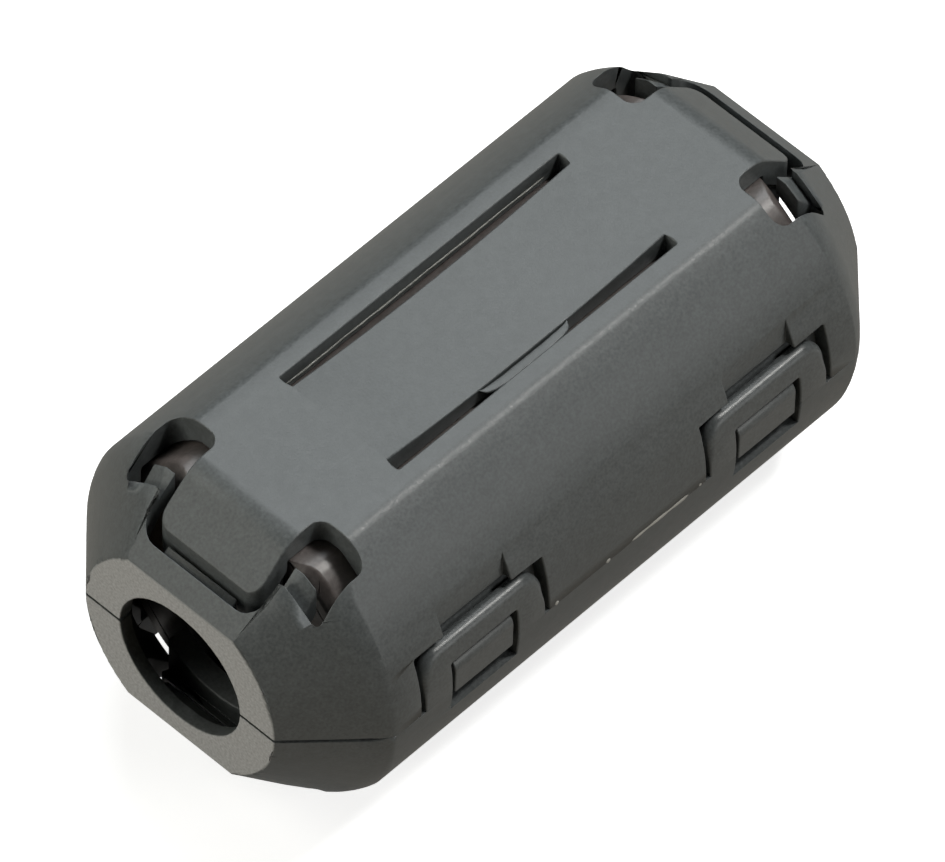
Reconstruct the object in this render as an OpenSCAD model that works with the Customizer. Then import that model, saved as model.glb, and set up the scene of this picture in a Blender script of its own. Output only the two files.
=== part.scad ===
// Clip on ferrite bead for a thin round cable.
// Two ferrite half cores sit in a hinged nylon case that snaps shut round the cable.
// X runs along the cable, +Z is up, the latches are on the -Y side and the hinge on the +Y side.
// The origin is the middle of the cable bore. All sizes are in millimetres.

/* [Case] */
// Length of the closed case
case_l = 25.6; // [24:0.1:28]
// Width across the curved sides
case_w = 12.8; // [12.4:0.1:14]
// Height over the flat top and bottom
case_h = 11.5; // [11.2:0.1:12]
// Width of the flat top and bottom
top_w = 6.2; // [5.8:0.1:6.8]
// Wall thickness of the moulding
wall = 0.9; // [0.85:0.05:1]
// Radius along the long edges of the flats
edge_r = 0.4; // [0.2:0.05:0.6]
// Height of the parting gap between the halves
seam = 0.1; // [0.04:0.01:0.12]

/* [Tapered ends] */
// Length of each tapered end
taper_l = 2.65; // [2.4:0.05:2.9]
// Diameter of the flat end ring
end_d = 7.9; // [7.6:0.1:8.3]
// Height over the flats of the end ring
end_h = 6.6; // [6.4:0.1:7]
// Radius of the round shoulder between side and taper
shoulder_r = 2; // [1:0.1:3]
// Radius of the crease between top and flap
crease_r = 1.2; // [0.5:0.1:2]
// Radius round the edge of the end ring
rim_r = 0.15; // [0.05:0.05:0.3]

/* [Cable entry] */
// Diameter of the cable hole in each end wall
bore_d = 5; // [4:0.1:5.2]
// Thickness of the end wall round the cable
end_wall = 0.5; // [0.4:0.05:0.7]

/* [Ferrite core] */
// Distance from the end ring face to the core
end_room = 2.55; // [2.4:0.05:3]
// Diameter of the core bore
core_bore_d = 5.3; // [5:0.1:6]
// Clearance between core and case
core_fit = 0.06; // [0.03:0.01:0.15]
// Gap between the two ground faces
core_gap = 0.02; // [0.01:0.01:0.05]
// Radius along the outer edges of the core flats
core_edge_r = 0.6; // [0.3:0.1:1]
// Chamfer round the ends of the core
core_chamfer = 0.25; // [0.1:0.05:0.4]
// Gap between the end of the core and the rib that stops it
stop_gap = 0.2; // [0.1:0.05:0.3]
// Length of that rib along the cable
stop_l = 0.8; // [0.5:0.1:1]
// Clearance between that rib and the cable
stop_clear = 0.3; // [0.25:0.05:0.4]

/* [Spring panels] */
// Distance from the end ring face to the slots beside each spring panel
slot_back = 6.75; // [6:0.05:8]
// Width of each slot
slot_w = 0.5; // [0.4:0.05:0.6]
// Distance between the middles of the slots
slot_pitch = 4.45; // [3.8:0.05:4.6]
// How far the panel dips in the middle
panel_bow = 0.3; // [0.1:0.05:0.4]

/* [End flaps and windows] */
// Width of each end flap
flap_w = 4.12; // [3.6:0.02:4.3]
// Distance from the end ring face back to the flap tip
flap_tip = 1.08; // [0.96:0.02:1.2]
// Radius of the flap corners
flap_r = 0.45; // [0.3:0.05:0.6]
// Width of the slit round the flap
slit_w = 0.44; // [0.3:0.02:0.46]
// Width of the fine slit between the flap tip and the ledge in front of it
front_slit = 0.1; // [0.06:0.01:0.2]
// Width of the ledge that closes the rest of the front slit
ledge_w = 2.9; // [2:0.1:3.2]
// How far the ledge and the window tabs lie below the surface
lip_drop = 0.3; // [0.2:0.05:0.4]
// Length of each corner window
window_l = 2.14; // [1.8:0.02:2.2]
// Distance from the end ring face to the inner edge of the window
window_back = 3.85; // [3.6:0.05:4]
// Width of each corner window
window_w = 1.98; // [1.8:0.02:2.1]
// Corner radius of the windows
window_r = 0.45; // [0.2:0.05:0.6]
// Length of the tab that reaches into the window
tab_l = 0.65; // [0.2:0.05:0.7]
// Width of the tab
tab_w = 0.9; // [0.5:0.02:1]

/* [Latches] */
// Distance from the end ring face to the middle of the latch
latch_back = 6.6; // [6.2:0.02:7]
// Width of each latch loop
latch_w = 5.16; // [4.8:0.02:5.6]
// Height of the loop above the parting plane
latch_h = 1.97; // [1.8:0.01:2.1]
// Thickness of the loop
latch_t = 0.5; // [0.4:0.02:0.55]
// Corner radius of the loop
latch_r = 0.8; // [0.3:0.05:1]
// Height of the cross bar at the top of the loop
latch_bar = 0.8; // [0.7:0.02:0.9]
// Width of the window in the loop
latch_window = 2.84; // [2.6:0.02:3]
// Depth of the window below the parting plane
latch_window_drop = 1.05; // [0.8:0.05:1.4]
// Gap beside the loop
latch_side_gap = 0.17; // [0.1:0.01:0.25]
// Gap above the loop
latch_top_gap = 0.31; // [0.2:0.01:0.4]
// Clearance behind the loop and below its foot
latch_fit = 0.06; // [0.03:0.01:0.08]
// Width of the hook on the upper half
hook_w = 2.5; // [2.2:0.05:2.7]
// Gap between the hook and the cross bar
hook_gap = 0.06; // [0.03:0.01:0.1]
// How far the hook stops short of the case surface
hook_inset = 0.05; // [0:0.01:0.15]
// How far the hook reaches below the parting plane
hook_drop = 0.3; // [0.1:0.05:0.5]
// Height of the finger pocket above the loop recess
pocket_h = 1.0; // [0.7:0.05:1.2]
// Width of the finger pocket
pocket_w = 2.9; // [2.4:0.05:3.4]
// Depth of the finger pocket at the loop
pocket_d = 0.35; // [0.2:0.05:0.45]

/* [Living hinge] */
// Width of each hinge strap
strap_w = 5; // [4:0.1:6]
// Distance from the end ring face to the middle of the strap
strap_back = 6.6; // [5.8:0.1:7.4]
// Thickness of the strap
strap_t = 0.27; // [0.2:0.01:0.35]
// How far the folded strap stands out from the side
strap_out = 0.45; // [0.35:0.01:0.6]
// Outer radius of the folded strap
strap_r = 0.85; // [0.7:0.05:1]

/* [Hidden] */
$fn = 96;
// Facets of the very wide arc that bows the spring panel
bow_fn = 400;
// How far a rounding arc stands proud of the lines it joins, so that it crosses them cleanly
proud = 0.0005;
// How far joined shapes run into each other
lap = 0.1;
// Radius of the smallest moulded inner corners
nick_r = 0.1;
// Height of the blunt nose of the hook
hook_nose = 0.7;
// Thickness of the hook at its foot
hook_toe = 0.15;
// How far the rib under a flap stays inside the edges of the flap
stop_inset = 0.05;

half_l = case_l / 2;
half_w = case_w / 2;
half_h = case_h / 2;
big = case_l * 2;

// Each side is an arc that meets the parting plane upright and ends at the flat.
side_c = (case_w ^ 2 - top_w ^ 2 - case_h ^ 2) / (4 * (case_w - top_w));
side_r = half_w - side_c;

// The tapered end is a cone cut by two sloping flats. The cone starts where the section reaches farthest out.
corner_rad = max(norm([top_w / 2, half_h]), half_w);
cone_a = atan2(corner_rad - end_d / 2, taper_l);
flap_a = atan2(half_h - end_h / 2, taper_l);
taper_x = half_l - taper_l;

core_l = case_l - 2 * end_room;
pocket_x = core_l / 2 + core_fit;
recess_d = latch_t + latch_fit;
hinge_y = half_w + strap_out;
flap_half = flap_w / 2;
slit_half = flap_half + slit_w;
flap_x = half_l - flap_tip;
window_x = half_l - window_back;
slot_l = case_l - 2 * slot_back;
latch_x = half_l - latch_back;
strap_x = half_l - strap_back;
recess_w = latch_w + 2 * latch_side_gap;
recess_h = latch_h + latch_top_gap;
hook_h = latch_h - latch_bar - hook_gap;
tint_case = "#4a4d4d";
tint_core = "#5b5a5a";

// Distance from the axis to the side surface at height z, for a surface sunk by t.
function side_y(z, t = 0) = side_c + sqrt((side_r - t) ^ 2 - z ^ 2);
function unit(v) = v / norm(v);

// Turns a shape drawn in Y and Z into a bar along X.
module along_x(l) rotate([90, 0, 90]) linear_extrude(l, center = true) children();

// Turns a shape drawn in X and Z into a plate across Y.
module along_y(l) rotate([90, 0, 0]) linear_extrude(l, center = true) children();

// Turns a shape drawn as radius and length into a body round X.
module around_x() rotate([0, 90, 0]) rotate_extrude() children();

// Repeats a shape on both sides of a plane.
module both(normal) {
    children();
    mirror(normal) children();
}

// Points of an outline whose corners are rounded, each to its own radius. A radius of 0 keeps a corner.
function rounded(pts, radii, steps = 6) = [
    for (i = [0 : len(pts) - 1])
        let (n = len(pts),
             back = unit(pts[(i + n - 1) % n] - pts[i]),
             ahead = unit(pts[(i + 1) % n] - pts[i]),
             half = acos(back * ahead) / 2,
             c = pts[i] + unit(back + ahead) * radii[i] / sin(half),
             first = pts[i] + back * radii[i] / tan(half) - c,
             turn = 180 - 2 * half,
             sense = sign(cross(ahead, back)))
        each radii[i] == 0 ? [pts[i]] : [
            for (k = [0 : steps])
                let (t = sense * turn * k / steps)
                c + [first.x * cos(t) - first.y * sin(t), first.x * sin(t) + first.y * cos(t)]]];

// Convex outline whose corners are rounded by true arcs. A radius of 0 keeps a corner.
module round_outline(pts, radii) {
    n = len(pts);
    function dir(i, j) = unit(pts[(j + n) % n] - pts[i]);
    function half_angle(i) = acos(dir(i, i - 1) * dir(i, i + 1)) / 2;
    function touch(i, j) = pts[i] + dir(i, j) * radii[i] / tan(half_angle(i));
    function middle(i) = pts[i] + unit(dir(i, i - 1) + dir(i, i + 1)) * radii[i] / sin(half_angle(i));
    difference() {
        polygon(pts);
        for (i = [0 : n - 1])
            if (radii[i] > 0)
                polygon([touch(i, i - 1), pts[i] * 2 - middle(i), touch(i, i + 1)]);
    }
    for (i = [0 : n - 1])
        if (radii[i] > 0)
            translate(middle(i)) circle(radii[i] + proud);
}

// Cross section of the case, sunk by t, with sharp edges.
module section(t) {
    difference() {
        square([case_w * 2, case_h - 2 * t], center = true);
        both([1, 0]) difference() {
            translate([max(side_c, 0), -case_h]) square([case_w * 2, case_h * 2]);
            translate([side_c, 0]) circle(side_r - t);
        }
    }
}

// Cross section sunk by t, with its four long edges broken by a flat as wide as a radius r would be.
module soft_section(t, r) {
    z = half_h - t - r;
    y = side_c + sqrt((side_r - t - r) ^ 2 - z ^ 2);
    foot = [y, z] + unit([y - side_c, z]) * r;
    difference() {
        section(t);
        both([1, 0]) both([0, 1])
            polygon([[y, half_h - t], [y, case_h], [case_w, case_h], [case_w, foot.y], foot]);
    }
}

// Solid outside form of the closed case.
module outer_form() {
    intersection() {
        along_x(case_l) soft_section(0, edge_r);
        around_x() round_outline(
            [[0, -half_l], [end_d / 2, -half_l], [corner_rad, -taper_x],
             [corner_rad, taper_x], [end_d / 2, half_l], [0, half_l]],
            [0, rim_r, shoulder_r, shoulder_r, rim_r, 0]);
        along_y(big) round_outline(
            [[-half_l, -end_h / 2], [-taper_x, -half_h], [taper_x, -half_h], [half_l, -end_h / 2],
             [half_l, end_h / 2], [taper_x, half_h], [-taper_x, half_h], [-half_l, end_h / 2]],
            [rim_r, crease_r, crease_r, rim_r, rim_r, crease_r, crease_r, rim_r]);
    }
}

// Form that lies t below the outside of the case and ends square at end_x.
module sunk_form(t, end_x) {
    cone_in = corner_rad - t / cos(cone_a);
    flap_in = half_h - t / cos(flap_a);
    function cone_at(x) = cone_in - (x - taper_x) * tan(cone_a);
    function flap_at(x) = flap_in - (x - taper_x) * tan(flap_a);
    start_x = pocket_x - 1;
    intersection() {
        along_x(end_x * 2) section(t);
        around_x() polygon([[0, -end_x], [cone_at(end_x), -end_x], [cone_at(start_x), -start_x],
            [cone_at(start_x), start_x], [cone_at(end_x), end_x], [0, end_x]]);
        along_y(case_w) polygon([[-end_x, -flap_at(end_x)], [-start_x, -flap_at(start_x)],
            [start_x, -flap_at(start_x)], [end_x, -flap_at(end_x)],
            [end_x, flap_at(end_x)], [start_x, flap_at(start_x)],
            [-start_x, flap_at(start_x)], [-end_x, flap_at(end_x)]]);
    }
}

// Hollow inside the case: the core pocket and a tapered chamber at each end.
module cavity() {
    sunk_form(wall, half_l - end_wall);
    along_x(pocket_x * 2) section(wall);
    rotate([0, 90, 0]) cylinder(h = big, d = bore_d, center = true);
}

// Plan of the opening round one end flap, with its two corner windows.
module flap_opening() {
    side = [
        [flap_x + slit_w, slit_half, flap_r + slit_w - nick_r],
        [window_x + window_l, slit_half, nick_r],
        [window_x + window_l, flap_half + window_w, window_r / 2],
        [window_x, flap_half + window_w, window_r],
        [window_x, flap_half, window_r],
        [flap_x, flap_half, flap_r]];
    other = [for (i = [len(side) - 1 : -1 : 0]) [side[i].x, -side[i].y, side[i].z]];
    loop = concat(side, other);
    polygon(rounded([for (p = loop) [p.x, p.y]], [for (p = loop) p.z]));
}

// Lips that lie lower than the surface: the ledge in front of one flap and a tab in each window beside it.
module lips() {
    difference() {
        intersection() {
            sunk_form(lip_drop, half_l - lap);
            linear_extrude(case_h) {
                translate([flap_x + front_slit, -ledge_w / 2])
                    square([slit_w - front_slit + lap, ledge_w]);
                both([0, 1]) translate([window_x + window_l - tab_l, slit_half])
                    square([tab_l + lap, tab_w]);
            }
        }
        cavity();
    }
}

// Rib under one flap, with a round notch for the cable, that keeps the core from sliding out.
module core_stop() {
    difference() {
        intersection() {
            sunk_form(wall / 2, half_l - lap);
            translate([core_l / 2 + stop_gap, stop_inset - flap_half, lap])
                cube([stop_l, flap_w - 2 * stop_inset, case_h]);
        }
        rotate([0, 90, 0]) cylinder(h = big, d = bore_d + 2 * stop_clear, center = true);
    }
}

// Everything that is cut through the top of one half, drawn for the upper half.
module top_openings() {
    both([1, 0, 0]) translate([0, 0, end_h / 2 - wall])
        linear_extrude(case_h) flap_opening();
    both([0, 1, 0]) translate([0, slot_pitch / 2, half_h])
        cube([slot_l, slot_w, 3 * wall], center = true);
    panel_r = (slot_l ^ 2 / 4 + panel_bow ^ 2) / (2 * panel_bow);
    intersection() {
        translate([0, 0, half_h - panel_bow + panel_r])
            rotate([90, 0, 0]) cylinder(h = slot_pitch, r = panel_r, center = true, $fn = bow_fn);
        translate([0, 0, half_h]) cube([slot_l, slot_pitch, 2 * wall], center = true);
    }
}

// Case half with all that both halves share, drawn for the upper half.
module case_half() {
    difference() {
        outer_form();
        cavity();
        top_openings();
        translate([0, 0, seam / 2 - case_h]) cube([big, case_w * 2, case_h * 2], center = true);
    }
    both([1, 0, 0]) {
        lips();
        core_stop();
        translate([strap_x, 0, 0]) hinge_leaf();
    }
}

// One leaf of a folded hinge strap, from the side of the upper half to the fold line.
module hinge_leaf() {
    c = hinge_y - strap_r;
    intersection() {
        along_x(strap_w) difference() {
            translate([c, 0]) circle(strap_r);
            translate([c, 0]) circle(strap_r - strap_t);
        }
        translate([-strap_w, side_y(strap_r, wall / 2), seam / 2])
            cube([strap_w * 2, case_w, strap_r]);
    }
}

// Band that follows the side surface from depth a to depth b, on the latch side.
module side_band(a, b) {
    mirror([1, 0]) difference() {
        translate([side_c, 0]) circle(side_r - a);
        translate([side_c, 0]) circle(side_r - b);
    }
}

// Recess that takes one latch loop, with the finger pocket above it.
module latch_recess() {
    intersection() {
        along_x(recess_w) side_band(-1, recess_d);
        translate([0, -half_w, recess_h / 2]) cube([big, case_w / 2, recess_h], center = true);
    }
    top_z = recess_h + pocket_h;
    along_x(pocket_w) mirror([1, 0]) polygon([
        [side_y(top_z), top_z],
        [side_y(recess_h - lap, pocket_d), recess_h - lap],
        [case_w, recess_h - lap],
        [case_w, top_z]]);
}

// Wedge that the latch bar snaps over.
module hook() {
    tip_y = side_y(hook_h, hook_inset);
    root_y = side_y(hook_h, recess_d) - lap;
    back_y = side_y(0, recess_d - latch_fit);
    along_x(hook_w) mirror([1, 0]) polygon([
        [root_y, hook_h], [tip_y, hook_h], [tip_y, hook_h - hook_nose],
        [back_y + hook_toe, -hook_drop], [back_y, -hook_drop], [back_y, seam / 2], [root_y, seam / 2]]);
}

// Window below the loop, in the lower half.
module window_notch() {
    intersection() {
        along_x(latch_window) side_band(-1, recess_d);
        translate([0, -half_w, -latch_window_drop / 2])
            cube([big, case_w / 2, latch_window_drop], center = true);
    }
}

module lower_case() {
    color(tint_case) difference() {
        union() {
            mirror([0, 0, 1]) case_half();
            both([1, 0, 0]) translate([latch_x, 0, 0]) latch_foot();
        }
        both([1, 0, 0]) translate([latch_x, 0, 0]) window_notch();
    }
}

// Part of the lower half that reaches up to the foot of one loop.
module latch_foot() {
    intersection() {
        along_x(latch_w) side_band(0, recess_d);
        translate([0, -half_w, -seam]) cube([big, case_w / 2, seam * 2], center = true);
    }
}

module upper_case() {
    color(tint_case) {
        difference() {
            case_half();
            both([1, 0, 0]) translate([latch_x, 0, 0]) latch_recess();
        }
        both([1, 0, 0]) translate([latch_x, 0, 0]) hook();
    }
}

// One ferrite half core, drawn for the upper half.
module core_half() {
    r_out = half_w - wall - core_fit;
    end_x = core_l / 2;
    difference() {
        intersection() {
            along_x(core_l) soft_section(wall + core_fit, core_edge_r);
            translate([0, 0, core_gap / 2 + case_h / 2]) cube([big, case_w, case_h], center = true);
            around_x() polygon([[0, -end_x], [r_out - core_chamfer, -end_x],
                [r_out + lap, core_chamfer + lap - end_x], [r_out + lap, end_x - core_chamfer - lap],
                [r_out - core_chamfer, end_x], [0, end_x]]);
        }
        rotate([0, 90, 0]) cylinder(h = big, d = core_bore_d, center = true);
    }
}

module lower_core() color(tint_core) mirror([0, 0, 1]) core_half();

module upper_core() color(tint_core) core_half();

// Latch loop: two legs and a cross bar, curved with the side of the case.
module latch() {
    nose_z = latch_h - latch_t / 2;
    nose_y = side_y(nose_z, latch_t / 2);
    intersection() {
        along_x(latch_w) {
            intersection() {
                side_band(0, latch_t);
                translate([-case_w, 0]) square([case_w, nose_z]);
            }
            translate([-nose_y, nose_z]) circle(latch_t / 2);
        }
        translate([0, -half_w, 0]) along_y(case_w) difference() {
            polygon(rounded([[-latch_w / 2, 0], [latch_w / 2, 0], [latch_w / 2, latch_h],
                [-latch_w / 2, latch_h]], [0, 0, latch_r, latch_r]));
            translate([-latch_window / 2, -latch_h])
                square([latch_window, 2 * latch_h - latch_bar]);
        }
        translate([0, 0, case_h / 2 + latch_fit / 2]) cube([big, case_w * 2, case_h], center = true);
    }
}

module near_latch() color(tint_case) translate([-latch_x, 0, 0]) latch();

module far_latch() color(tint_case) translate([latch_x, 0, 0]) latch();

lower_case();
upper_case();
lower_core();
upper_core();
near_latch();
far_latch();
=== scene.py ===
# %% [markdown]
# A clip on ferrite bead, about 26 mm long, lies on a white table and is seen from above its near end.
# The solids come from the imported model, in metres and in one fixed frame: X runs along the cable, Z is up
# and the latches are on the -Y side. This script gives them moulded edges, finishes, light and a camera.

# %% Load the frame
import math

import bmesh
import bpy
import numpy as np
from mathutils import Matrix, Vector
from mathutils.bvhtree import BVHTree


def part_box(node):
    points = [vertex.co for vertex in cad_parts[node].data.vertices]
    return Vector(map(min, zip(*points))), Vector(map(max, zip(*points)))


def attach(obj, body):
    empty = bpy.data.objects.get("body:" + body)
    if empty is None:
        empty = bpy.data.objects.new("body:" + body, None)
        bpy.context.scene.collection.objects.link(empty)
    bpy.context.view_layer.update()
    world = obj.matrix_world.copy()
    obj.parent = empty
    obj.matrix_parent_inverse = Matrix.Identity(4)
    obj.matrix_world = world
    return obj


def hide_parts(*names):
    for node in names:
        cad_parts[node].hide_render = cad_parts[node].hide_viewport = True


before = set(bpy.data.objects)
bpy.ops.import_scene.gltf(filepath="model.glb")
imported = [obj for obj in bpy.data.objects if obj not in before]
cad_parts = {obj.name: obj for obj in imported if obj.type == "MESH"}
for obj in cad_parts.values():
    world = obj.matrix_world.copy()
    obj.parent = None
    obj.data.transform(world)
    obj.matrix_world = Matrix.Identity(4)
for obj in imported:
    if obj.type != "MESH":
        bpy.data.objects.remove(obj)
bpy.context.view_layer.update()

MM = 0.001
case_low, case_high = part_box("lower_case")[0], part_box("upper_case")[1]
HALF_LENGTH = case_high.x
HALF_HEIGHT = case_high.z
print("case box in mm:", [round(v / MM, 2) for v in (*case_low, *case_high)])


def new_object(name, data):
    """An object for a mesh, a camera or a light, linked to the scene."""
    made = bpy.data.objects.new(name, data)
    bpy.context.scene.collection.objects.link(made)
    return made


# %% [markdown]
# The camera stands where the photographer's did. Its place and its lens come from a pinhole camera that was
# fitted to the edges of the bead, with the length, width and height of the bead left free. The lens is long,
# so the far end is only a little smaller than the near end.

# %% Camera
CAMERA_AT = Vector((-196.43, -179.24, 343.08)) * MM
CAMERA_BACK = Vector((-0.45224, -0.41292, 0.79056))
CAMERA_RIGHT = Vector((0.69213, -0.72152, 0.01907))
LENS_MM = 545.1
SENSOR_MM = 36
NEAREST_MM, FARTHEST_MM = 10, 2000

back = CAMERA_BACK.normalized()
right = (CAMERA_RIGHT - back * CAMERA_RIGHT.dot(back)).normalized()
up = back.cross(right)
camera_data = bpy.data.cameras.new("camera")
camera_data.lens = LENS_MM
camera_data.sensor_width = SENSOR_MM
camera_data.clip_start = NEAREST_MM * MM
camera_data.clip_end = FARTHEST_MM * MM
camera = new_object("camera", camera_data)
camera.matrix_world = Matrix.Translation(CAMERA_AT) @ Matrix((right, up, back)).transposed().to_4x4()
bpy.context.scene.camera = camera
bpy.context.scene.view_settings.view_transform = "Standard"
print("camera is", round(CAMERA_AT.length / MM), "mm from the middle of the bead")

# %% [markdown]
# Colours are picked as hex values, the way a paint program shows them. Cycles works with linear light, so one
# function turns them. Another adds a node, sets it and links it, and the ones after it build on that, which
# keeps each material short.

# %% Helpers for materials
def linear(hex_colour):
    """Linear RGBA of an sRGB hex colour: c / 12.92 in the darks, ((c + 0.055) / 1.055) to the 2.4 above."""
    c = np.array([int(hex_colour[i:i + 2], 16) for i in (1, 3, 5)]) / 255
    rgb = np.where(c <= 0.04045, c / 12.92, ((c + 0.055) / 1.055) ** 2.4)
    return (*rgb.tolist(), 1.0)


def add(tree, kind, settings=None, inputs=None):
    """A new node of that kind. A setting is an attribute, an input is a value or another node's socket."""
    node = tree.nodes.new(kind)
    for name, value in (settings or {}).items():
        setattr(node, name, value)
    for name, value in (inputs or {}).items():
        if isinstance(value, bpy.types.NodeSocket):
            tree.links.new(value, node.inputs[name])
        else:
            node.inputs[name].default_value = value
    return node


def new_material(name):
    """An empty material and its node tree."""
    material = bpy.data.materials.new(name)
    material.use_nodes = True
    tree = material.node_tree
    tree.nodes.clear()
    return material, tree


def add_skin(tree, inputs):
    """A Principled surface with these inputs, put on the material."""
    skin = add(tree, "ShaderNodeBsdfPrincipled", {}, inputs)
    add(tree, "ShaderNodeOutputMaterial", {}, {"Surface": skin.outputs["BSDF"]})


def noise(tree, vector, size_mm, detail=2.0):
    """A 3D noise whose patches are size_mm across, as a value socket around 0.5."""
    inputs = {"Vector": vector, "Scale": 1 / (size_mm * MM), "Detail": detail}
    return add(tree, "ShaderNodeTexNoise", {}, inputs).outputs["Fac"]


def spread(tree, value, low, high):
    """Stretches the middle of a noise, 0.3 to 0.7, to the range low to high."""
    inputs = {"Value": value, "From Min": 0.3, "From Max": 0.7, "To Min": low, "To Max": high}
    return add(tree, "ShaderNodeMapRange", {}, inputs).outputs["Result"]


def blend(tree, factor, first, second, kind="MIX"):
    """Mixes two colours by a factor."""
    node = add(tree, "ShaderNodeMix", {"data_type": "RGBA", "blend_type": kind},
               {"Factor": factor, "A": first, "B": second})
    return node.outputs["Result"]


def calculate(tree, operation, *values):
    """What a Math node makes of its values, each a number or another node's socket."""
    return add(tree, "ShaderNodeMath", {"operation": operation}, dict(enumerate(values))).outputs["Value"]


# %% [markdown]
# The case is glass filled nylon, dyed dark grey and moulded in a tool with a fine spark eroded skin. The skin
# is satin, so soft light glides over it, and it shows fine grains about 0.1 mm across. Two noises on Object
# coordinates give the grains and their fainter clusters, and a third a slow change of tone, because real
# mouldings never have one even colour. The flat end faces are painted much paler, as painted light that
# stands in for light thrown on them from the white table, and are rougher, so a mask on the X coordinate
# gives them their own colour and roughness. The latch loops and hooks come from polished inserts in the tool,
# and their rounded edges shine more, so they get a smoother skin.

# %% Moulded nylon
GRAIN_MM = 0.1
CLUSTER_MM = 0.35
CLOUD_MM = 4.0
BUMP_MM = 0.015
END_BAND_MM = 0.03
END_ROUGHNESS = 0.75
NYLON_IOR = 1.53


def moulded_nylon(name, rough_low, rough_high, bumps):
    """Grainy dark nylon with a roughness range and a bump strength for its skin, and end faces painted paler
    as painted light.
    """
    material, tree = new_material(name)
    place = add(tree, "ShaderNodeTexCoord").outputs["Object"]
    grain = noise(tree, place, GRAIN_MM, 3.0)
    cloud = noise(tree, place, CLOUD_MM)
    tone = blend(tree, cloud, linear("#575b5c"), linear("#5f6364"))
    tone = blend(tree, 1.0, tone, spread(tree, grain, 0.8, 1.2), "MULTIPLY")
    tone = blend(tree, 1.0, tone, spread(tree, noise(tree, place, CLUSTER_MM), 0.94, 1.06), "MULTIPLY")
    along = add(tree, "ShaderNodeSeparateXYZ", {}, {"Vector": place}).outputs["X"]
    along = calculate(tree, "ABSOLUTE", along)
    end_face = add(tree, "ShaderNodeMapRange", {},
                   {"Value": along, "From Min": HALF_LENGTH - END_BAND_MM * MM, "From Max": HALF_LENGTH})
    end_face = end_face.outputs["Result"]
    # Painted light: the end faces are painted much paler, standing in for light that the white table throws
    # on them.
    painted_end_light = blend(tree, 1.0, linear("#bdbec0"), spread(tree, grain, 0.82, 1.18), "MULTIPLY")
    tone = blend(tree, end_face, tone, painted_end_light)
    satin = spread(tree, grain, rough_low, rough_high)
    rough = add(tree, "ShaderNodeMix", {}, {"Factor": end_face, "A": satin, "B": END_ROUGHNESS})
    bump = add(tree, "ShaderNodeBump", {}, {"Height": grain, "Strength": bumps, "Distance": BUMP_MM * MM})
    add_skin(tree, {"Base Color": tone, "Roughness": rough.outputs["Result"],
                    "Normal": bump.outputs["Normal"], "IOR": NYLON_IOR})
    return material


nylon = moulded_nylon("moulded_nylon", 0.36, 0.5, 0.3)
smooth_nylon = moulded_nylon("smooth_moulded_nylon", 0.32, 0.38, 0.0)
print("nylon grains:", GRAIN_MM, "mm, clusters:", CLUSTER_MM, "mm")

# %% [markdown]
# The cores are manganese zinc ferrite, a black ceramic that is pressed, fired and tumbled. Its skin is a bit
# glossy, with soft mottling and fine pores where grains broke out.

# %% Fired ferrite
MOTTLE_MM = 1.2
FLECK_MM = 0.12
PORE_MM, PORE_DEPTH_MM = 0.25, 0.02

ferrite, tree = new_material("fired_ferrite")
place = add(tree, "ShaderNodeTexCoord").outputs["Object"]
mottle = noise(tree, place, MOTTLE_MM, 4.0)
pores = add(tree, "ShaderNodeTexVoronoi", {}, {"Vector": place, "Scale": 1 / (PORE_MM * MM)})
tone = blend(tree, mottle, linear("#4a4442"), linear("#6a625f"))
tone = blend(tree, 1.0, tone, spread(tree, noise(tree, place, FLECK_MM, 3.0), 0.8, 1.2), "MULTIPLY")
rough = spread(tree, mottle, 0.36, 0.5)
bump = add(tree, "ShaderNodeBump", {},
           {"Height": pores.outputs["Distance"], "Strength": 0.12, "Distance": PORE_DEPTH_MM * MM})
add_skin(tree, {"Base Color": tone, "Roughness": rough, "Normal": bump.outputs["Normal"], "IOR": 1.9,
                "Specular IOR Level": 0.4})
print("ferrite pores:", PORE_MM, "mm")

# %% [markdown]
# A moulded or fired edge is never knife sharp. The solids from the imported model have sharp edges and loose
# triangles, so each one is copied and its triangles are merged. Flat areas are then joined, but a flat area
# with a hole in it can't be one face, so cuts along the bead keep such areas apart. A Bevel modifier rounds
# the edges that stay sharp, the four long ones more boldly, as the photo shows a bright line there. A
# Weighted Normal modifier keeps the large flats flat in shading.

# %% Rounded copies of the solids
MERGE_MM = 0.0005
NEAR_MM = 0.01
FLAT_DEG = 0.6
SHARP_DEG = 28
CASE_EDGE_MM, CORE_EDGE_MM, BOLD_MM = 0.06, 0.12, 0.14
EDGE_SEGMENTS = 3
TOP_W_MM = 6.2
CUTS_Y_MM = (0.0, 2.225, -2.225)  # down the middle, and down the middle of both slots
ROOM = 3.0  # how many radii long an edge's neighbours must be for full rounding
CALM_TRIES, CALM_REACH = 5, 6  # how often spills are looked for, and how many radii around one are calmed
FOOT_MM, SEAM_MM = 0.04, 0.06
STRAP_FROM_MM = 6.45
TIGHT_FROM_MM = 6.2
TIGHT_X_MM = ((-10.35, -8.8), (-3.7, 3.7), (8.8, 12.9))
OPEN_FROM_MM, OPEN_MM = 10.5, 0.06
HOOK_AT_MM, HOOK_REACH_MM, HOOK_TUCK_MM = 6.2, 1.27, 5.95
NOSE_FROM_MM, NOSE_LOW_MM, NOSE_HIGH_MM = 6.1, 0.3, 1.13


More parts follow.
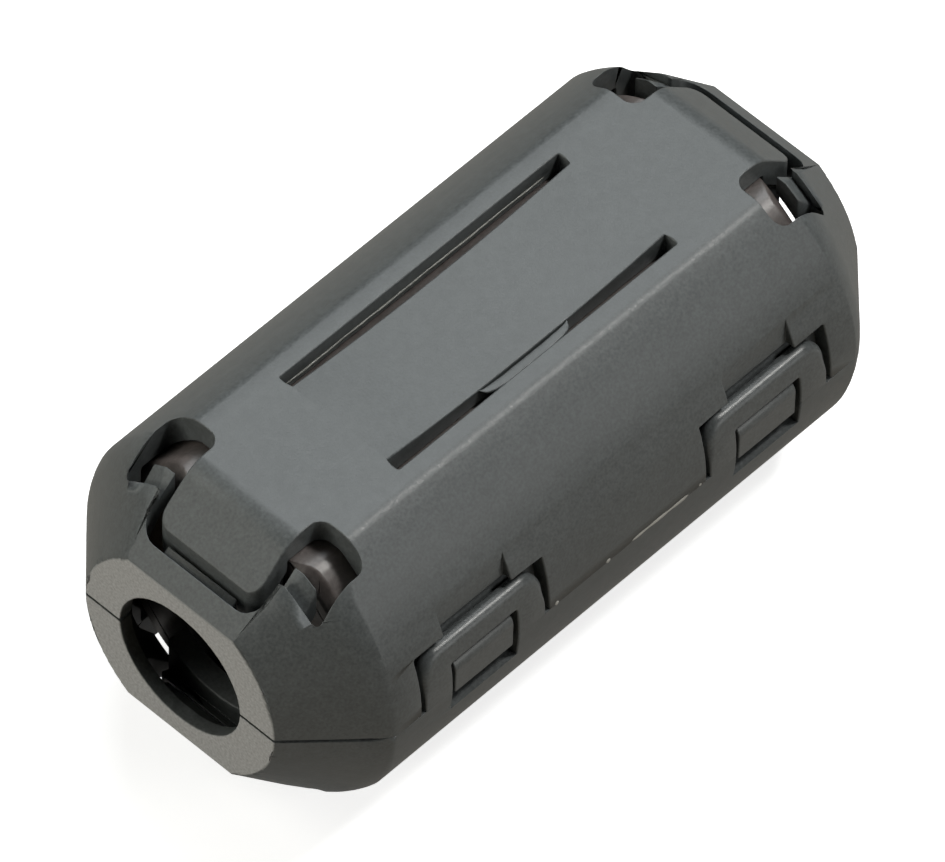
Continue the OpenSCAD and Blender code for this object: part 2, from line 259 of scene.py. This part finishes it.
def dress_seam(bm):
    """Closes or opens the parting line, so that it shows as it does in the photo.

    It closes where the skin is one moulding on the real bead, which is at the feet of the loops and at the
    hinge straps, and where the halves meet tightly beside the loops. At the ends it opens.
    """
    for vert in bm.verts:
        x, y, z = vert.co.x / MM, vert.co.y / MM, abs(vert.co.z) / MM
        at_foot = z < FOOT_MM
        in_strap = y > STRAP_FROM_MM and z < SEAM_MM
        beside_loop = y < -TIGHT_FROM_MM and any(start < x < end for start, end in TIGHT_X_MM)
        at_end = MERGE_MM < z < SEAM_MM and abs(x) > OPEN_FROM_MM
        if (beside_loop and z < SEAM_MM) or in_strap or (at_foot and not at_end):
            vert.co.z = 0.0
        elif at_end:
            vert.co.z = math.copysign(OPEN_MM * MM, vert.co.z)


def tuck_noses(bm):
    """Draws in the noses of the two hooks, because rounder ones are made below."""
    for vert in bm.verts:
        x, y, z = (part / MM for part in vert.co)
        in_hook = abs(abs(x) - HOOK_AT_MM) < HOOK_REACH_MM and NOSE_LOW_MM < z < NOSE_HIGH_MM
        if in_hook and y < -NOSE_FROM_MM:
            vert.co.y = -HOOK_TUCK_MM * MM


def merged_copy(node, material):
    """A copy of a node's mesh with merged corners and joined flats, cut along the bead at each CUTS_Y_MM."""
    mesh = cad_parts[node].data.copy()
    bm = bmesh.new()
    bm.from_mesh(mesh)
    bmesh.ops.remove_doubles(bm, verts=bm.verts, dist=MERGE_MM * MM)
    for cut in CUTS_Y_MM:
        everything = bm.verts[:] + bm.edges[:] + bm.faces[:]
        halves = bmesh.ops.bisect_plane(bm, geom=everything, dist=MERGE_MM * MM, plane_co=(0, cut * MM, 0),
                                        plane_no=(0, 1, 0))
        for part in halves["geom_cut"]:
            if isinstance(part, bmesh.types.BMEdge):
                part.seam = True
    bmesh.ops.dissolve_limit(bm, angle_limit=math.radians(FLAT_DEG), verts=bm.verts, edges=bm.edges,
                             use_dissolve_boundaries=False, delimit={"SEAM"})
    for face in bm.faces:
        face.smooth = True
        face.material_index = 0
    dress_seam(bm)
    tuck_noses(bm)
    bm.to_mesh(mesh)
    bm.free()
    mesh.materials.clear()
    mesh.materials.append(material)
    return mesh


def is_bold(edge):
    """True for the four long edges between the flat top or bottom and a side."""
    slack = NEAR_MM * MM
    return all(abs(abs(vert.co.y) - TOP_W_MM / 2 * MM) < slack
               and abs(abs(vert.co.z) - HALF_HEIGHT) < slack for vert in edge.verts)


def weigh_edges(bm, radius, width):
    """Gives each sharp edge a rounding weight, which is the share of width that it is rounded by.

    That is radius, or less where the shortest edge at its ends is under ROOM radii. The four long edges get
    the whole width.
    """
    weight = bm.edges.layers.float.new("bevel_weight_edge")
    for edge in bm.edges:
        in_plane = all(abs(vert.co.z) < MERGE_MM * MM for vert in edge.verts)
        if len(edge.link_faces) == 2 and not in_plane and edge.calc_face_angle(0) > math.radians(SHARP_DEG):
            shortest = min(near.calc_length() for vert in edge.verts for near in vert.link_edges)
            share = min(1.0, shortest / (ROOM * radius)) * radius / width
            edge[weight] = 1.0 if is_bold(edge) else share


def calm_spills(made, radius):
    """Takes the weight off edges near any rounded point that left the old surface by more than a radius."""
    mesh = made.data
    old = BVHTree.FromPolygons([vert.co for vert in mesh.vertices],
                               [tuple(face.vertices) for face in mesh.polygons])
    weight = mesh.attributes["bevel_weight_edge"]
    for _ in range(CALM_TRIES):
        rounded = made.evaluated_get(bpy.context.evaluated_depsgraph_get()).to_mesh()
        nearest = [old.find_nearest(vert.co) for vert in rounded.vertices]
        spills = [place for place, _, _, far in nearest if far > radius]
        if not spills:
            break
        for edge in mesh.edges:
            start, end = (mesh.vertices[index].co for index in edge.vertices)
            middle = (start + end) / 2
            reach = CALM_REACH * radius + (start - end).length / 2
            if any((place - middle).length < reach for place in spills):
                weight.data[edge.index].value = 0.0
        mesh.update()


def crease_unrounded(mesh):
    """Marks edges that stay unrounded as sharp, so that shading doesn't flow over them, and counts them."""
    bm = bmesh.new()
    bm.from_mesh(mesh)
    weight = bm.edges.layers.float["bevel_weight_edge"]
    creased = 0
    for edge in bm.edges:
        unrounded = edge[weight] == 0 and len(edge.link_faces) == 2
        if unrounded and edge.calc_face_angle(0) > math.radians(SHARP_DEG):
            edge.smooth = False
            creased += 1
    bm.to_mesh(mesh)
    bm.free()
    return creased


def shade_flats(made):
    """Keeps the flats of an object flat in shading, and keeps its sharp edges sharp."""
    shade = made.modifiers.new("flat_shading", "WEIGHTED_NORMAL")
    shade.mode = "FACE_AREA"
    shade.keep_sharp = True


def rounded_copy(node, piece, body, material, radius_mm):
    """Copies a node, rounds its sharp edges to radius_mm and lets the copy stand for the node."""
    mesh = merged_copy(node, material)
    width_mm = max(radius_mm, BOLD_MM)
    bm = bmesh.new()
    bm.from_mesh(mesh)
    weigh_edges(bm, radius_mm * MM, width_mm * MM)
    bm.to_mesh(mesh)
    bm.free()
    made = new_object(piece, mesh)
    rounding = made.modifiers.new("moulded_edges", "BEVEL")
    rounding.limit_method = "WEIGHT"
    rounding.width = width_mm * MM
    rounding.segments = EDGE_SEGMENTS
    rounding.use_clamp_overlap = False
    rounding.miter_outer = "MITER_ARC"
    calm_spills(made, radius_mm * MM)
    creased = crease_unrounded(mesh)
    shade_flats(made)
    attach(made, body)
    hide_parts(node)
    print(piece, "has", len(mesh.polygons), "faces before rounding, and", creased, "edges stay sharp")


rounded_copy("lower_case", "lower_shell", "base", nylon, CASE_EDGE_MM)
rounded_copy("upper_case", "upper_shell", "lid", nylon, CASE_EDGE_MM)
rounded_copy("lower_core", "lower_half_core", "base", ferrite, CORE_EDGE_MM)
rounded_copy("upper_core", "upper_half_core", "lid", ferrite, CORE_EDGE_MM)

# %% [markdown]
# A latch loop is a flat hoop that grows out of the lower half and is bent to the side of the case. Its cross
# bar is rounded over where a finger pushes it, and that round top catches the light. A hoop is a closed
# profile carried along an upside down U, so it is computed as rings of points: each ring spans from the inner
# to the outer outline of the hoop, and a last step bends all rings round the side.

# %% Latch loops
LOOP_W_MM, LOOP_H_MM, LOOP_T_MM, LOOP_CORNER_MM = 5.16, 1.97, 0.5, 0.8
LOOP_WINDOW_MM, LOOP_BAR_MM, WINDOW_CORNER_MM = 2.84, 0.8, 0.1
LOOP_EDGE_MM, LOOP_SWELL_MM, LOOP_PLAIN_MM = 0.06, 0.18, 0.4
LOOP_BACK_MM = 6.6
LEG_STEPS, BEND_STEPS, CORNER_STEPS = 8, 12, 6
LATCH_AT_MM = HALF_LENGTH / MM - LOOP_BACK_MM
width, height = -2 * case_low.y / MM, 2 * HALF_HEIGHT / MM
SIDE_MIDDLE_MM = (width ** 2 - TOP_W_MM ** 2 - height ** 2) / (4 * (width - TOP_W_MM))
SIDE_RADIUS_MM = width / 2 - SIDE_MIDDLE_MM
print("side arc radius:", round(SIDE_RADIUS_MM, 2), "mm")


def ring_surface(name, rings):
    """A closed surface through rings of points (n, m, 3) in mm.

    Neighbouring rings are joined by quads, and each end is closed by one point in the middle of its ring.
    """
    n, m = rings.shape[:2]
    points = np.concatenate([rings.reshape(-1, 3), rings[[0, -1]].mean(axis=1)]) * MM
    ring, turn = np.meshgrid(np.arange(n - 1), np.arange(m), indexing="ij")
    corner, after = ring * m + turn, ring * m + (turn + 1) % m
    quads = np.stack([corner, after, after + m, corner + m], axis=-1).reshape(-1, 4)
    first, second = np.arange(m), (np.arange(m) + 1) % m
    start_cap = np.stack([second, first, np.full(m, n * m)], axis=-1)
    last = (n - 1) * m
    end_cap = np.stack([last + first, last + second, np.full(m, n * m + 1)], axis=-1)
    mesh = bpy.data.meshes.new(name)
    mesh.from_pydata(points.tolist(), [], quads.tolist() + start_cap.tolist() + end_cap.tolist())
    bm = bmesh.new()
    bm.from_mesh(mesh)
    bmesh.ops.recalc_face_normals(bm, faces=bm.faces)
    for face in bm.faces:
        face.smooth = True
    bm.verts.ensure_lookup_table()
    for pole in (bm.verts[n * m], bm.verts[n * m + 1]):
        for face in pole.link_faces:
            for edge in face.edges:
                edge.smooth = pole in edge.verts
    bm.to_mesh(mesh)
    bm.free()
    return mesh


def arch(half_width, top, corner):
    """An upside down U of (x, z) points: up a leg, round a quarter circle, over the bar and down again."""
    leg = np.linspace(0, 1, LEG_STEPS)[:, None] * [0, top - corner] + [-half_width, 0]
    angle = np.linspace(np.pi, np.pi / 2, BEND_STEPS)
    bend = np.stack([np.cos(angle), np.sin(angle)], axis=-1) * corner + [corner - half_width, top - corner]
    left = np.concatenate([leg[:-1], bend])
    return np.concatenate([left, (left * [-1, 1])[::-1]])


def hoop_rings(outer, inner, thick):
    """Rings of (x, z, depth) that span from the inner to the outer outline.

    Each ring is a rectangle whose four corners are quarter circles: the way across runs from inner to outer,
    and depth runs from 0 at the skin to the thickness. The outer corners grow rounder with height, from
    LOOP_PLAIN_MM up to the bar.
    """
    span = np.linalg.norm(outer - inner, axis=1)[:, None]
    plain_leg = LOOP_H_MM - LOOP_CORNER_MM - LOOP_PLAIN_MM
    rise = np.clip((outer[:, 1:] - LOOP_PLAIN_MM) / plain_leg, 0, 1)
    bold = LOOP_EDGE_MM + LOOP_SWELL_MM * rise ** 2 * (3 - 2 * rise)
    small = LOOP_EDGE_MM + 0 * span
    angle = np.linspace(0, np.pi / 2, CORNER_STEPS)[None]
    cosine, sine = np.cos(angle), np.sin(angle)
    across = np.concatenate([small - small * cosine, span - bold + bold * sine,
                             span - bold + bold * cosine, small - small * sine], axis=1)
    depth = np.concatenate([small - small * sine, bold - bold * cosine,
                            thick - bold + bold * sine, thick - small + small * cosine], axis=1)
    share = (across / span)[:, :, None]
    flat = inner[:, None] + share * (outer - inner)[:, None]
    return np.concatenate([flat, depth[:, :, None]], axis=-1)


def bend_to_side(rings, middle_x):
    """Bends (x, z, depth) to the latch side: y is the side arc's reach at height z, sunk by the depth."""
    x, z, depth = rings[..., 0], rings[..., 1], rings[..., 2]
    y = -(SIDE_MIDDLE_MM + np.sqrt((SIDE_RADIUS_MM - depth) ** 2 - z ** 2))
    return np.stack([x + middle_x, y, z], axis=-1)


outer = arch(LOOP_W_MM / 2, LOOP_H_MM, LOOP_CORNER_MM)
inner = arch(LOOP_WINDOW_MM / 2, LOOP_H_MM - LOOP_BAR_MM, WINDOW_CORNER_MM)
for piece, node, side in (("near_loop", "near_latch", -1), ("far_loop", "far_latch", 1)):
    rings = bend_to_side(hoop_rings(outer, inner, LOOP_T_MM), side * LATCH_AT_MM)
    loop = new_object(piece, ring_surface(piece, rings))
    loop.data.materials.append(smooth_nylon)
    shade_flats(loop)
    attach(loop, piece)
    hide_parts(node)

# %% [markdown]
# Inside each loop stands the hook that the cross bar snaps over. The solids give its place and reach. Here
# its face gets a bold rounding at the top, as the photo shows a wide highlight there, and runs straight down
# from it. It is a closed profile in Y and Z that is carried along X and drawn in a little at both ends.

# %% Hooks
HOOK_W_MM, HOOK_TOP_MM, HOOK_FOOT_MM = 2.52, 1.02, -0.4
HOOK_FACE_MM, HOOK_BACK_MM = 6.33, 5.9
HOOK_ROUND_MM, HOOK_EDGE_MM, HOOK_END_MM = 0.4, 0.06, 0.05
FACE_STEPS, END_STEPS = 12, 5


def carried_profile(name, stations, profile, shift, scale):
    """A closed surface: at each station x the profile's (y, z) points are scaled, and then moved by shift.

    All sizes are in mm. profile is (m, 2), shift is (n, 2) or (1, 2), and scale is (n, 2) or (n, 1).
    """
    rings = np.empty((len(stations), len(profile), 3))
    rings[:, :, 0] = stations[:, None]
    rings[:, :, 1:] = profile[None] * scale[:, None] + shift[:, None]
    return ring_surface(name, rings)


def hook_profile():
    """Points (y, z) of the hook: a quarter circle over the top edge, a small one at the foot and the back."""
    angle = np.linspace(0, np.pi / 2, FACE_STEPS)
    sideways, down = 1 - np.sin(angle), 1 - np.cos(angle)
    top = np.stack([-HOOK_FACE_MM + HOOK_ROUND_MM * sideways, HOOK_TOP_MM - HOOK_ROUND_MM * down], axis=-1)
    foot = np.stack([-HOOK_FACE_MM + HOOK_EDGE_MM * down, HOOK_FOOT_MM + HOOK_EDGE_MM * sideways], axis=-1)
    back = np.array([(-HOOK_BACK_MM, HOOK_FOOT_MM), (-HOOK_BACK_MM, HOOK_TOP_MM)])
    return np.concatenate([top, foot, back])


angle = np.linspace(0, np.pi / 2, END_STEPS)
draw_in = HOOK_END_MM * (1 - np.sin(angle))
reach = HOOK_W_MM / 2 - HOOK_END_MM * (1 - np.cos(angle))
along_hook = np.concatenate([-reach, reach[::-1]])
inset = np.concatenate([draw_in, draw_in[::-1]])
profile = hook_profile()
middle = (profile.min(axis=0) + profile.max(axis=0)) / 2
shrink = 1 - 2 * inset[:, None] / (profile.max(axis=0) - profile.min(axis=0))
for piece, side in (("near_hook", -1), ("far_hook", 1)):
    mesh = carried_profile(piece, along_hook + side * LATCH_AT_MM, profile - middle, middle[None], shrink)
    mesh.materials.append(smooth_nylon)
    hook = new_object(piece, mesh)
    shade_flats(hook)
    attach(hook, "lid")
print("hook face is", round(HOOK_TOP_MM - HOOK_FOOT_MM, 2), "mm high")

# %% [markdown]
# Where the tool's parts meet, molten nylon leaves thin flash. The photo shows three places: a ledge halfway
# down the outer wall of each slot, a lip on the spring panel that nearly closes one slot, and a broken bright
# ridge on the parting line between the loops. Each is a small closed profile that is carried along the bead
# and shrinks to nothing at its ends, and small sines let it waver, as flash is never quite straight. Ledges
# are painted paler than the case and the ridge nearly white, which is a painted highlight along them.

# %% Moulding flash
SLOT_HALF_MM = 6.05
SLOT_WALL_MM = 2.475
LEDGE_DEPTH_MM = 0.6
LEDGE_NEAR_GAP_MM, LEDGE_FAR_GAP_MM = 0.02, 0.6
LEDGE_HALF_MM = (0.05, 0.035)
LEDGE_STEPS = 40
FADE_END = 0.02
PATCH_MM = 0.3


def add_flash(name, body, mesh, material):
    """Puts a flash mesh into the scene in a material and lets it move with a body."""
    mesh.materials.append(material)
    made = new_object(name, mesh)
    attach(made, body)
    print(name, "spans", round((mesh.vertices[-1].co.x - mesh.vertices[-2].co.x) / MM, 1), "mm")


def flash_nylon(name, dark, light):
    """Flash nylon in two pale tones in patches of PATCH_MM, a painted highlight along the flash, and a
    slightly glossy skin.
    """
    material, tree = new_material(name)
    place = add(tree, "ShaderNodeTexCoord").outputs["Object"]
    tone = blend(tree, noise(tree, place, PATCH_MM), linear(dark), linear(light))
    rough = spread(tree, noise(tree, place, GRAIN_MM), 0.3, 0.45)
    add_skin(tree, {"Base Color": tone, "Roughness": rough, "IOR": NYLON_IOR})
    return material


def oval(half_width, half_height):
    """Eight points (y, z) round an oval."""
    angle = np.linspace(0, 2 * np.pi, 8, endpoint=False)
    return np.stack([half_width * np.cos(angle), half_height * np.sin(angle)], axis=-1)


def fade(stations, power):
    """A column that is 1 along most of the stations and nearly 0 at both ends.

    It is the root of 1 minus u to a power, with u from -1 to 1, so a higher power gives blunter ends.
    """
    u = np.interp(stations, [stations[0], stations[-1]], [-1, 1])
    return (np.sqrt(np.clip(1 - np.abs(u) ** power, 0, 1)) + FADE_END)[:, None]


# Painted highlight: the slot ledges are painted paler than the case, so they show as bright lines.
ledge_nylon_painted_highlight = flash_nylon("ledge_flash_painted_highlight", "#6e716e", "#96978f")
# Painted highlight: the parting ridge is painted nearly white, so it shows as bright spots and lines.
ridge_nylon_painted_highlight = flash_nylon("ridge_flash_painted_highlight", "#a5a6a1", "#dadad5")
ledge_x = np.linspace(-SLOT_HALF_MM + LEDGE_NEAR_GAP_MM, SLOT_HALF_MM - LEDGE_FAR_GAP_MM, LEDGE_STEPS)
for body, up in (("lid", 1), ("base", -1)):
    ledge_z = np.full(LEDGE_STEPS, up * (HALF_HEIGHT / MM - LEDGE_DEPTH_MM))
    for side in (1, -1):
        sway = 0.01 * np.sin(1.9 * ledge_x + side) + 0.006 * np.sin(5.3 * ledge_x)
        centre = np.stack([side * (SLOT_WALL_MM + sway), ledge_z], axis=-1)
        mesh = carried_profile("slot_ledge", ledge_x, oval(*LEDGE_HALF_MM), centre, fade(ledge_x, 14))
        add_flash(f"slot_ledge_{body}_{'hinge' if side > 0 else 'latch'}", body, mesh, ledge_nylon_painted_highlight)

# %% [markdown]
# The lip on the spring panel rises from low on the panel's side, with a groove between, and ends just short
# of the rail. It follows the dip of the panel, which is a shallow parabola along the bead. The ridge lies on
# the parting line and swells in seven places, which were chosen from the bright spots in the photo.

# %% Panel lip and parting ridge
PANEL_SIDE_MM, PANEL_DIP_MM = 1.975, 0.3
LIP_FROM_MM, LIP_TO_MM, LIP_SINK_MM, LIP_STEPS = -2.05, 1.75, 0.03, 32
RIDGE_FROM_MM, RIDGE_TO_MM, RIDGE_STEPS = -3.4, 3.35, 220
RIDGE_SINK_MM, RIDGE_ABOVE_MM, RIDGE_LEAST = 0.02, 0.04, 0.12
RIDGE_HALF_MM = (0.032, 0.11)

lip = np.array([(0.02, -0.3), (-0.05, -0.1), (-0.07, -0.02), (-0.1, 0.005), (-0.12, 0.01), (-0.34, 0.01),
                (-0.36, 0.005), (-0.4, -0.03), (-0.4, -0.08), (-0.2, -0.16), (0.02, -0.44)])
lip_x = np.linspace(LIP_FROM_MM, LIP_TO_MM, LIP_STEPS)
dip = PANEL_DIP_MM * (1 - (lip_x / SLOT_HALF_MM) ** 2)
lip_z = HALF_HEIGHT / MM - dip - LIP_SINK_MM + 0.006 * np.sin(7 * lip_x)
foot = np.stack([np.full(LIP_STEPS, -PANEL_SIDE_MM), lip_z], axis=-1)
lip_scale = fade(lip_x, 5) * (0.97 + 0.03 * np.sin(5 * lip_x))[:, None]
add_flash("panel_lip", "lid", carried_profile("panel_lip", lip_x, lip, foot, lip_scale), nylon)

ridge_x = np.linspace(RIDGE_FROM_MM, RIDGE_TO_MM, RIDGE_STEPS)
swells = [(-3.13, 0.1, 1.0), (-0.88, 0.12, 0.9), (0.4, 0.4, 0.6), (1.35, 0.65, 0.8), (2.35, 0.4, 0.75),
          (2.85, 0.1, 0.3), (3.17, 0.1, 0.8)]
swell = RIDGE_LEAST + sum(tall * np.exp(-((ridge_x - at) / wide) ** 2) for at, wide, tall in swells)
ridge_y = np.full(RIDGE_STEPS, case_low.y / MM + RIDGE_SINK_MM)
crest = np.stack([ridge_y, RIDGE_ABOVE_MM + 0.01 * np.sin(2.1 * ridge_x)], axis=-1)
ridge_scale = swell[:, None] * fade(ridge_x, 20)
ridge = carried_profile("parting_ridge", ridge_x, oval(*RIDGE_HALF_MM), crest, ridge_scale)
add_flash("parting_ridge", "lid", ridge, ridge_nylon_painted_highlight)

# %% [markdown]
# The bead lies on a white sheet. The camera and reflections see a glow in it, so that it reads as white while
# the shadow of the bead still shows. To light that spreads from surface to surface the sheet is darker, as if
# it were small and stood in a dark studio, which keeps the lower sides of the bead as deep as in the photo.

# %% White table
TABLE_SIDE = 600 * MM
CLEARANCE_MM = 0.02
GLOW = 0.75
GLOSS_SHARE = 0.31

sheet_white, tree = new_material("white_paper")
ray = add(tree, "ShaderNodeLightPath").outputs
bounced = calculate(tree, "MAXIMUM", ray["Is Diffuse Ray"], ray["Is Glossy Ray"])
sheet = blend(tree, bounced, linear("#fafafa"), linear("#7c7364"))
paper = add(tree, "ShaderNodeBsdfDiffuse", {}, {"Color": sheet})
gloss = calculate(tree, "MULTIPLY", ray["Is Glossy Ray"], GLOSS_SHARE)
straight = calculate(tree, "MAXIMUM", ray["Is Camera Ray"], ray["Is Transmission Ray"])
seen = calculate(tree, "MAXIMUM", straight, gloss)
strength = calculate(tree, "MULTIPLY", seen, GLOW)
glow = add(tree, "ShaderNodeEmission", {}, {"Color": linear("#ffffff"), "Strength": strength})
both = add(tree, "ShaderNodeAddShader", {}, {0: paper.outputs["BSDF"], 1: glow.outputs["Emission"]})
add(tree, "ShaderNodeOutputMaterial", {}, {"Surface": both.outputs["Shader"]})

half = TABLE_SIDE / 2
corners = [(-half, -half), (half, -half), (half, half), (-half, half)]
table_mesh = bpy.data.meshes.new("table")
table_mesh.from_pydata([(x, y, -HALF_HEIGHT - CLEARANCE_MM * MM) for x, y in corners], [], [(0, 1, 2, 3)])
table_mesh.materials.append(sheet_white)
table = new_object("table", table_mesh)

# %% [markdown]
# Five soft boxes light the bead. The key stands above the far end, where its reflection glides over the satin
# top towards the camera. A small one beside it draws the bright lines on the loops and the long top edge. One
# in front lights the latch side, one at the back left the near flap, and a low one the end ring. Their
# strengths were found by rendering each alone and matching the mix to the photo's tones, and together they
# light at a level at which a colour renders about as it is written.

# %% Light
LAMP_AWAY_MM = 400


def soft_box(name, towards, watts, side_mm, tint):
    """A square area light that stands off in a direction and looks at the middle of the bead."""
    data = bpy.data.lights.new(name, "AREA")
    data.size = side_mm * MM
    data.energy = watts
    data.color = linear(tint)[:3]
    lamp = new_object(name, data)
    direction = Vector(towards).normalized()
    lamp.location = direction * LAMP_AWAY_MM * MM
    lamp.rotation_euler = direction.to_track_quat("Z", "Y").to_euler()


soft_box("key", (0.4, 0.35, 0.85), 0.68, 220, "#f8fdff")
soft_box("front", (0.3, -0.9, 0.4), 0.3, 200, "#fffefa")
soft_box("glint", (0.45, -0.28, 0.84), 0.68, 60, "#fffefa")
soft_box("back_left", (-0.5, 0.6, 0.6), 0.3, 200, "#fffef2")
soft_box("low_left", (-0.9, 0.25, 0.15), 0.52, 200, "#fffdf4")

room = bpy.data.worlds.new("room")
room.use_nodes = True
ray = add(room.node_tree, "ShaderNodeLightPath")
backdrop = room.node_tree.nodes["Background"]
backdrop.inputs["Color"].default_value = linear("#ffffff")
room.node_tree.links.new(ray.outputs["Is Camera Ray"], backdrop.inputs["Strength"])
bpy.context.scene.world = room
